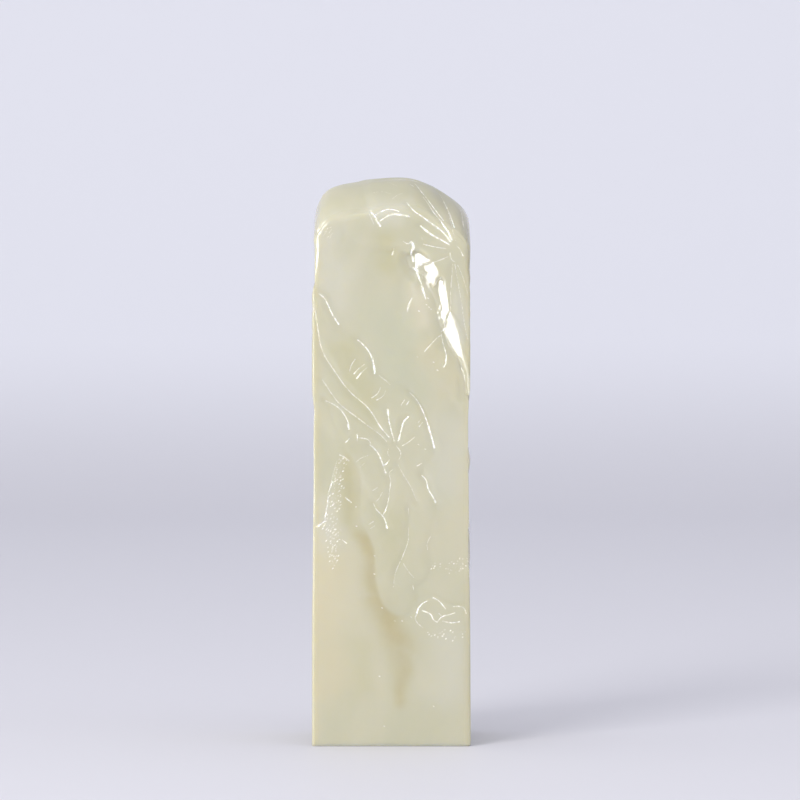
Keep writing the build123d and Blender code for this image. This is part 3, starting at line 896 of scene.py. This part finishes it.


# Tints, most of them the stone's own clouding and some painted light or painted shade: how far they reach
# in pixels, how strong, and where they run
stoneClouds = {
    "green cloud": [
        (30, 0.8, [(388, 325), (402, 375)]),
        (14, 0.4, [(437, 460), (440, 490)]),
    ],
    "olive cloud": [
        (11, 0.8, [(383, 238), (386, 262)]),
        (14, 0.8, [(345, 350), (358, 385), (370, 412)]),
        (12, 0.5, [(362, 645), (364, 690)]),
        (16, 0.65, [(392, 520), (396, 560)]),
    ],
    # partly the reed bed's brown, partly painted shade in the ground along the lower leaf's left edge
    "bed cloud": [
        (10, 1.0, [(352, 458), (350, 490), (354, 518)]),
        (9, 0.6, [(354, 518), (366, 552)]),
    ],
    "stain cloud": [
        (10, 0.8, [(366, 540), (372, 575), (380, 602)]),
        (15, 0.88, [(379, 605), (392, 628), (400, 642)]),
        (9, 0.6, [(398, 655), (402, 675), (403, 700)]),
    ],
    # painted light: lighter patches on the upper leaf near the crown and on the turned rim
    "lit cloud": [
        (15, 0.6, [(440, 213), (450, 230)]),
        (11, 0.55, [(420, 294), (423, 320)]),
    ],
    "cool cloud": [
        (10, 0.9, [(458, 298), (459, 330)]),
        (22, 0.6, [(330, 235), (335, 300)]),
        (22, 0.6, [(448, 430), (447, 480)]),
        (12, 0.9, [(378, 210), (398, 212)]),
        (20, 0.5, [(448, 640), (450, 690)]),
        (12, 0.5, [(326, 505), (326, 535)]),
    ],
    "warm cloud": [
        (22, 0.8, [(330, 570), (330, 680)]),
        (13, 0.5, [(432, 345), (450, 385)]),
    ],
}
roundLowerLeaf = ("bed cloud", "stain cloud")    # these lie round the lower leaf, and little in it
inLeafShare = 0.3
cloudSlant = 0.15      # how a tint moves across as it goes back through the stone
cloudDrift = {"most": 0.7, "waves": [(9.0, 7), (8.0, 8)]}    # lengths and seeds, across and up


def shareOf(distance, soft):
    return smoothStep(-soft, soft, distance)


def addShare(name, values):
    stoneMesh.attributes.new(name, "FLOAT", "POINT").data.foreach_set("value", values.astype(np.float32))


leafShare = shareOf(inUpper, 0.3) * (1 - topShare) + shareOf(inCrownLeaf, 0.3) * topShare
leafShare = np.maximum(leafShare, shareOf(inLower, 0.5) * (1 - topShare))
drifts = [waves(spots[:, ::2], *look) for look in cloudDrift["waves"]]
slanted = np.stack([spots[:, 0] - cloudSlant * (spots[:, 1] + halfDepth), height], axis=1)
cloudPlaces = slanted + np.stack(drifts, axis=1) * cloudDrift["most"]


def cloud(name, runs):  # a tint along some runs of pixels, which goes on through the stone
    strength = np.zeros(len(spots))
    for reachPx, most, pixels in runs:
        near = np.full(len(spots), 1e9)
        for spot in smoothCurve(unrolled(pixels), 0.5):
            near = np.minimum(near, np.hypot(*(cloudPlaces - spot).T))
        strength = np.maximum(strength, most * bell(near, reachPx / photoCamera["pxPerMm"]))
    if name in roundLowerLeaf:
        strength = strength * (1 - (1 - inLeafShare) * shareOf(inLower, 0.4))
    addShare(name, strength)


dotShares = (1, 0.9, 0.4, 1)    # how many of the dots the reeds, the two bands and the side's band have
dots = np.maximum.reduce([
    most * shareOf(inside(line) - 0.25, 0.2) for line, most in zip(dotted, dotShares)
]) * (1 - topShare)
addShare("leaf", leafShare)
addShare("dotted", dots)
# The edges below the shoulder: worn, so rougher and with less coat, and darker in colour as painted shade
# along the rounded edges
fromCorner = np.hypot(halfWidth - abs(boxPlaces[:, 0]), halfDepth - abs(boxPlaces[:, 1]))
wornAndShade = smoothStep(*wornAndShadeLook["reach"], fromCorner) * smoothStep(*wornAndShadeLook["heights"], height)
addShare("wornAndShade", wornAndShade * (1 - inFacets))
addShare("crown", topShare * smoothStep(0.0, 3.0, overRidge))
for name, runs in stoneClouds.items():
    cloud(name, runs)
stoneMesh.update()
print("scene: relief laid, points", len(stoneMesh.vertices))


def linked(name, data):
    thing = bpy.data.objects.new(name, data)
    bpy.context.scene.collection.objects.link(thing)
    return thing


stone = linked("carved_stone", stoneMesh)


# Node trees: outputs that can be added and multiplied, and one method that makes any node
class Wire:
    def __init__(self, tree, socket):
        self.tree, self.socket = tree, socket

    def out(self, name):
        return Wire(self.tree, self.socket.node.outputs[name])

    def maths(self, operation, *others, clamp=False):
        settings = {"operation": operation, "use_clamp": clamp}
        return self.tree.node("ShaderNodeMath", settings, dict(enumerate([self, *others])))

    def __add__(self, other):
        return self.maths("ADD", other)

    def __sub__(self, other):
        return self.maths("SUBTRACT", other)

    def __rsub__(self, other):
        return (self * -1.0).maths("ADD", other)

    def __mul__(self, other):
        return self.maths("MULTIPLY", other)

    def __truediv__(self, other):
        return self.maths("DIVIDE", other)

    __radd__, __rmul__ = __add__, __mul__

    def clamped(self):
        return self.maths("ADD", 0.0, clamp=True)

    def between(self, low, high):  # 0 at low and 1 at high, and smooth in between
        inputs = {"Value": self, "From Min": low, "From Max": high}
        return self.tree.node("ShaderNodeMapRange", {"interpolation_type": "SMOOTHSTEP"}, inputs)


class Tree:
    def __init__(self, tree):
        self.tree = tree

    def node(self, kind, settings=None, inputs=None, output=0):
        node = self.tree.nodes.new(kind)
        for name, value in (settings or {}).items():
            setattr(node, name, value)
        for name, value in (inputs or {}).items():
            if isinstance(value, Wire):
                self.tree.links.new(value.socket, node.inputs[name])
            else:
                node.inputs[name].default_value = value
        return Wire(self, node.outputs[output]) if node.outputs else node

    def mixed(self, share, first, second):
        inputs = {"Factor": share, 6: first, 7: second}
        return self.node("ShaderNodeMix", {"data_type": "RGBA"}, inputs, 2)


def newMaterial(name):
    material = bpy.data.materials.new(name)
    material.use_nodes = True
    material.node_tree.nodes.clear()
    return material, Tree(material.node_tree)


# The graver's cuts and the punched dots
engraving = {
    "widthShare": 0.78,        # of the half width that each stroke is drawn with
    "cutDepthShare": 1.0,      # of a stroke's half width
    "burrShare": 0.12,
    "unevenness": 0.9,
    "dotSpacing": 0.33,        # mm
    "dotRadius": 0.14,
    "dotDepth": 0.07,
    "faintHalves": (0.00004, 0.00013),    # m: half widths from which a stroke is less and less faint
    "faintShare": 0.35,
    "swellScale": 900.0,
    "burrPlace": 1.35,         # in half widths from the stroke's middle
    "burrReach": 0.4,
    "cutEdge": 1.15,
    "cutSharpness": 1.8,
    "mostDots": 2.0e7,         # to a square metre
    "seed": 7,
}


def strokesObject():
    spots, edges, halves = [], [], []
    for places, half in strokes:
        edges += [(len(spots) + i, len(spots) + i + 1) for i in range(len(places) - 1)]
        spots += [tuple(place * mm) for place in places]
        halves += list(half * mm)
    lines = bpy.data.meshes.new("strokes")
    lines.from_pydata(spots, edges, [])
    widths = lines.attributes.new("half width", "FLOAT", "POINT")
    widths.data.foreach_set("value", np.array(halves, np.float32))
    return linked("strokes", lines)


def engraveTree():
    group = bpy.data.node_groups.new("engrave", "GeometryNodeTree")
    sockets = {
        "Geometry": "Geometry", "Strokes": "Object", "Width": "Float", "Cut depth": "Float",
        "Unevenness": "Float", "Burr": "Float", "Dot spacing": "Float", "Dot radius": "Float",
        "Dot depth": "Float", "Seed": "Int", "Finish": "Material",
    }
    for name, kind in sockets.items():
        group.interface.new_socket(name, in_out="INPUT", socket_type="NodeSocket" + kind)
    group.interface.new_socket("Geometry", in_out="OUTPUT", socket_type="NodeSocketGeometry")
    tree = Tree(group)
    given = tree.node("NodeGroupInput")
    stone = given.out("Geometry")

    def reading(name):
        return tree.node("GeometryNodeInputNamedAttribute", {"data_type": "FLOAT"}, {"Name": name})

    def distanceTo(kind, things):
        return tree.node("GeometryNodeProximity", {"target_element": kind}, {0: things}).out("Distance")

    lines = tree.node(
        "GeometryNodeObjectInfo", {"transform_space": "RELATIVE"}, {"Object": given.out("Strokes")},
    ).out("Geometry")
    onSkin = tree.node("GeometryNodeProximity", {"target_element": "FACES"}, {0: stone})
    lines = tree.node("GeometryNodeSetPosition", None, {"Geometry": lines, "Position": onSkin})
    drawn = reading("half width")
    nearest = tree.node("GeometryNodeSampleNearest", {"domain": "POINT"}, {0: lines})
    inputs = {"Geometry": lines, "Value": drawn, "Index": nearest}
    drawn = tree.node("GeometryNodeSampleIndex", {"data_type": "FLOAT"}, inputs)
    swell = tree.node("ShaderNodeTexNoise", None, {"Scale": engraving["swellScale"], "Detail": 1.0})
    swell = 1.0 + (swell - 0.5) * 2.0 * given.out("Unevenness")
    faint = engraving["faintShare"]  # a finer stroke is fainter too
    tone = faint + drawn.between(*engraving["faintHalves"]) * (1.0 - faint)
    width = drawn * given.out("Width") * swell
    away = distanceTo("EDGES", lines) / width
    cut = (1.0 - away).clamped()
    burr = (1.0 - ((away - engraving["burrPlace"]).maths("ABSOLUTE") / engraving["burrReach"])).clamped()
    points = tree.node("GeometryNodeDistributePointsOnFaces", {"distribute_method": "POISSON"}, {
        "Mesh": stone, "Distance Min": given.out("Dot spacing"), "Density Max": engraving["mostDots"],
        "Density Factor": reading("dotted"), "Seed": given.out("Seed"),
    })
    dent = 1.0 - distanceTo("POINTS", points) / (given.out("Dot radius") * swell)
    dent = dent.clamped().between(0.0, 1.0)
    inward = cut * width * given.out("Cut depth") - burr * width * given.out("Burr")
    inward = inward + dent * given.out("Dot depth")
    normal = tree.node("GeometryNodeInputNormal")
    offset = tree.node("ShaderNodeVectorMath", {"operation": "SCALE"}, {0: normal, "Scale": inward * -1.0})
    # how white a cut is painted: partly its frosted surface, partly painted glints
    whitened = ((engraving["cutEdge"] - away) * engraving["cutSharpness"]).clamped() * tone
    settings = {"data_type": "FLOAT", "domain": "POINT"}
    for name, value in {"cut": whitened, "dent": dent}.items():
        inputs = {"Geometry": stone, "Name": name, "Value": value}
        stone = tree.node("GeometryNodeStoreNamedAttribute", settings, inputs)
    stone = tree.node("GeometryNodeSetPosition", None, {"Geometry": stone, "Offset": offset})
    stone = tree.node("GeometryNodeRealizeInstances", None, {"Geometry": stone})
    stone = tree.node("GeometryNodeSetMaterial", None, {"Geometry": stone, "Material": given.out("Finish")})
    tree.node("NodeGroupOutput", None, {"Geometry": stone})
    return group


# Soapstone: pale, waxy, clouded, and a little brown where the reed bed is, with painted light and painted
# shade in some of its tints and painted glints in its cuts
stoneLook = {
    "pale": (0.475, 0.455, 0.34),
    "clear": (0.43, 0.42, 0.305),
    "warm": (0.495, 0.452, 0.308),
    "green": (0.425, 0.43, 0.32),
    "olive": (0.42, 0.40, 0.25),
    "bed": (0.42, 0.395, 0.25),
    "stain": (0.385, 0.34, 0.185),
    "cool": (0.50, 0.49, 0.415),
    # the tint of the painted light patches
    "lit": (0.58, 0.54, 0.42),
    # the painted shade on the rounded edges
    "edgeShade": (0.39, 0.37, 0.275),
    # the white of the cuts: partly their frost, partly painted glints
    "cutFrostAndGlintColour": (0.98, 0.98, 0.95),
    "subsurface": 0.9,
    "subsurfaceScale": 0.0035,
    "subsurfaceRadius": (1.0, 0.85, 0.5),
    "specular": 0.2,
    "roughness": 0.22,
    "cutRoughness": 0.6,
    "wornRoughness": 0.15,     # added to it
    "crownRoughness": 0.16,
    "rubShare": 0.14,          # how far the rubbing varies it
    "coat": 1.0,
    "coatRoughness": 0.07,
    "coatIor": 1.65,
    "coatLost": {"wornAndShade": 0.8, "crown": 0.9},
    "cloudShares": (0.35, 0.68),
    "mottle": (0.7, 0.6),      # a tint's strength: where it starts, and what the noise adds
    "leafShare": 0.25,
    "edgeShadeShare": 0.6,
    "glintShares": (0.4, 0.58),
    "glint": (0.45, 0.65),
    "gapShares": (0.36, 0.52),
    "gap": (0.6, 0.5),
    "dentGlint": 1.4,
    "dentShare": 0.9,
    "fleck": (0.1, 0.25),
    "coarseGrain": 2.0,
    "bumpStrength": 0.03,
    "bumpDistance": 0.0002,
}
stoneNoises = {
    "cloud": {"scale": 70, "detail": 4, "stretch": (1, 1, 0.6), "bend": 0.6},
    "mottle": {"scale": 160, "shift": (0.2, 0.5, 0.1)},
    "fleck": {"scale": 900, "detail": 2},
    "glint": {"scale": 2000, "detail": 2, "shift": (0.5, 0.2, 0.9)},
    "gap": {"scale": 650, "detail": 1, "shift": (0.9, 0.4, 0.2)},
    "rub": {"scale": 300, "shift": (0.1, 0.6, 0.2)},
    "fine grain": {"scale": 1500, "detail": 2},
    "coarse grain": {"scale": 420, "detail": 2},
}


def soapstone():
    material, tree = newMaterial("soapstone")
    place = tree.node("ShaderNodeTexCoord").out("Object")

    def noise(name):
        look = stoneNoises[name]
        stretch, shift = look.get("stretch", (1, 1, 1)), look.get("shift", (0, 0, 0))
        moved = tree.node("ShaderNodeMapping", None, {"Vector": place, "Scale": stretch, "Location": shift})
        return tree.node("ShaderNodeTexNoise", None, {
            "Vector": moved, "Scale": look["scale"], "Detail": look.get("detail", 3),
            "Distortion": look.get("bend", 0),
        })

    def share(name):
        return tree.node("ShaderNodeAttribute", {"attribute_name": name}).out("Fac")

    def rgb(name):
        return (*stoneLook[name], 1.0)

    def varied(name, wire):
        start, gain = stoneLook[name]
        return start + wire * gain

    colour = tree.mixed(noise("cloud").between(*stoneLook["cloudShares"]), rgb("pale"), rgb("clear"))
    mottle = varied("mottle", noise("mottle"))
    for name in stoneClouds:
        colour = tree.mixed((share(name) * mottle).clamped(), colour, rgb(name.split()[0]))
    colour = tree.mixed(share("leaf") * stoneLook["leafShare"], colour, rgb("clear"))
    wornAndShade, crown = share("wornAndShade"), share("crown")
    # painted shade: the rounded edges are darkened
    colour = tree.mixed(wornAndShade * stoneLook["edgeShadeShare"], colour, rgb("edgeShade"))
    # The cuts and dots are painted white: partly for their frosted surface, partly as painted glints that
    # the glint noise breaks up
    glint = noise("glint").between(*stoneLook["glintShares"])
    gap = noise("gap").between(*stoneLook["gapShares"])
    cut = share("cut") * varied("glint", glint) * varied("gap", gap)
    dent = share("dent") * glint * stoneLook["dentGlint"]
    colour = tree.mixed((cut + dent * stoneLook["dentShare"]).clamped(), colour, rgb("cutFrostAndGlintColour"))
    colour = tree.mixed(varied("fleck", noise("fleck") - 0.5), colour, rgb("warm"))
    rough = (noise("rub") - 0.5) * stoneLook["rubShare"] + stoneLook["roughness"]
    rough = rough + wornAndShade * stoneLook["wornRoughness"] + crown * stoneLook["crownRoughness"]
    rough = rough + (cut + dent) * (stoneLook["cutRoughness"] - stoneLook["roughness"])
    lost = stoneLook["coatLost"]
    coat = (1.0 - wornAndShade * lost["wornAndShade"]) * (1.0 - crown * lost["crown"]) * stoneLook["coat"]
    grain = noise("fine grain") + noise("coarse grain") * stoneLook["coarseGrain"]
    bump = tree.node("ShaderNodeBump", None, {
        "Height": grain, "Strength": stoneLook["bumpStrength"], "Distance": stoneLook["bumpDistance"],
    })
    surface = tree.node("ShaderNodeBsdfPrincipled", {"subsurface_method": "RANDOM_WALK"}, {
        "Base Color": colour, "Roughness": rough.clamped(), "Normal": bump,
        "Specular IOR Level": stoneLook["specular"],
        "Subsurface Weight": stoneLook["subsurface"], "Subsurface Radius": stoneLook["subsurfaceRadius"],
        "Subsurface Scale": stoneLook["subsurfaceScale"],
        "Coat Weight": coat, "Coat Roughness": stoneLook["coatRoughness"], "Coat IOR": stoneLook["coatIor"],
    })
    tree.node("ShaderNodeOutputMaterial", None, {"Surface": surface})
    return material


soapstoneFinish = soapstone()
strokeLines = strokesObject()
engrave = stone.modifiers.new("engrave", "NODES")
engrave.node_group = engraveTree()
values = {
    "Strokes": strokeLines, "Width": engraving["widthShare"], "Unevenness": engraving["unevenness"],
    "Cut depth": engraving["cutDepthShare"], "Burr": engraving["burrShare"],
    "Dot spacing": engraving["dotSpacing"] * mm, "Dot radius": engraving["dotRadius"] * mm,
    "Dot depth": engraving["dotDepth"] * mm, "Seed": engraving["seed"], "Finish": soapstoneFinish,
}
for socket in engrave.node_group.interface.items_tree:
    if socket.in_out == "INPUT" and socket.name in values:
        engrave[socket.identifier] = values[socket.name]
bpy.context.view_layer.update()
graph = bpy.context.evaluated_depsgraph_get()
evaluated = stone.evaluated_get(graph)
carved = bpy.data.meshes.new_from_object(evaluated, preserve_all_data_layers=True, depsgraph=graph)
stone.modifiers.clear()
stone.data = carved
bpy.data.objects.remove(strokeLines)
print("scene: engraved, triangles", sum(len(face.vertices) - 2 for face in carved.polygons))


# The stage: a pale floor that curves up into a wall, painted darker towards the floor as painted shade
stageLook = {
    "wallColour": (0.86, 0.86, 0.91),
    "floorShadeColour": (0.70, 0.69, 0.73),
    "floorRoughness": 0.6,
    "halfWidth": 3.0,
    "front": -1.6,
    "back": 1.6,
    "bend": 0.6,
    "height": 3.0,
    "shadeFadeHeights": (0.0, 0.095),  # heights, in m
    "mottleScale": 3.0,
    "mottleShare": 0.04,
}


def backdrop():
    turns = np.linspace(0, math.pi / 2, 16)
    bend = stageLook["bend"]
    profile = [(stageLook["front"], 0.0)]
    profile += [(stageLook["back"] - bend + bend * math.sin(t), bend - bend * math.cos(t)) for t in turns]
    profile.append((stageLook["back"], stageLook["height"]))
    half = stageLook["halfWidth"]
    points = [(side, y, z) for y, z in profile for side in (-half, half)]
    faces = [(2 * i, 2 * i + 1, 2 * i + 3, 2 * i + 2) for i in range(len(profile) - 1)]
    sheet = bpy.data.meshes.new("floor")
    sheet.from_pydata(points, [], faces)
    sheet.shade_smooth()
    floor = linked("floor", sheet)
    material, tree = newMaterial("plain floor")
    place = tree.node("ShaderNodeTexCoord").out("Object")
    inputs = {"Vector": place, "Scale": stageLook["mottleScale"], "Detail": 2.0}
    mottle = tree.node("ShaderNodeTexNoise", None, inputs) * stageLook["mottleShare"]
    up = tree.node("ShaderNodeSeparateXYZ", None, {"Vector": place}, 2)
    low, high = (*stageLook["floorShadeColour"], 1.0), (*stageLook["wallColour"], 1.0)
    # painted shade: darker low down, fading into the wall's colour
    colour = tree.mixed((up.between(*stageLook["shadeFadeHeights"]) + mottle).clamped(), low, high)
    inputs = {"Base Color": colour, "Roughness": stageLook["floorRoughness"]}
    surface = tree.node("ShaderNodeBsdfPrincipled", None, inputs)
    tree.node("ShaderNodeOutputMaterial", None, {"Surface": surface})
    sheet.materials.append(material)


# Soft lights, each by its direction from the stone in degrees: to the right of the camera, and up
lights = {
    "left window": {
        "turn": -33, "lift": 16.5, "far": 1.2, "size": (0.5, 0.75), "power": 9.7,
        "colour": (1.0, 0.995, 0.99),
    },
    "low card": {
        "turn": -33, "lift": 2, "far": 0.5, "size": (0.2, 0.12), "power": 0.58,
        "colour": (1.0, 0.995, 0.99),
    },
    "right fill": {
        "turn": 60, "lift": 25, "far": 1.4, "size": (0.9, 1.2), "power": 1.2,
        "colour": (0.96, 0.97, 1.0),
    },
    "overhead": {
        "turn": 0, "lift": 80, "far": 1.3, "size": (1.2, 1.2), "power": 1.2,
        "colour": (1.0, 1.0, 1.0),
    },
}
worldLook = {"colour": (0.88, 0.89, 0.95), "strength": 0.845}


def addLights():
    middle = Vector((0, 0, stoneHeight / 2 * mm))
    for name, look in lights.items():
        lamp = bpy.data.lights.new(name, "AREA")
        lamp.shape = "RECTANGLE"
        lamp.size, lamp.size_y = look["size"]
        lamp.energy = look["power"]
        lamp.color = look["colour"]
        thing = linked(name, lamp)
        turn, lift = math.radians(look["turn"]), math.radians(look["lift"])
        way = Vector((math.sin(turn) * math.cos(lift), -math.cos(turn) * math.cos(lift), math.sin(lift)))
        thing.location = middle + way * look["far"]
        thing.rotation_euler = way.to_track_quat("Z", "Y").to_euler()
    world = bpy.data.worlds.new("studio")
    world.use_nodes = True
    light = world.node_tree.nodes["Background"]
    light.inputs["Color"].default_value = (*worldLook["colour"], 1.0)
    light.inputs["Strength"].default_value = worldLook["strength"]
    bpy.context.scene.world = world


def addCamera():
    lens = bpy.data.cameras.new("camera")
    lens.sensor_width = photoCamera["sensorWidth"]
    lens.lens = photoCamera["focalPx"] / photoCamera["imagePx"] * photoCamera["sensorWidth"]
    camera = linked("camera", lens)
    place = (photoCamera["side"], -halfDepth - photoCamera["distance"], photoCamera["height"])
    camera.location = [part * mm for part in place]
    camera.rotation_euler = (math.pi / 2, 0, 0)
    bpy.context.scene.camera = camera


backdrop()
addLights()
addCamera()
bpy.context.scene.view_settings.view_transform = "Standard"
print("scene: stage set")

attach(stone, "root")
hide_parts("seal_stone")
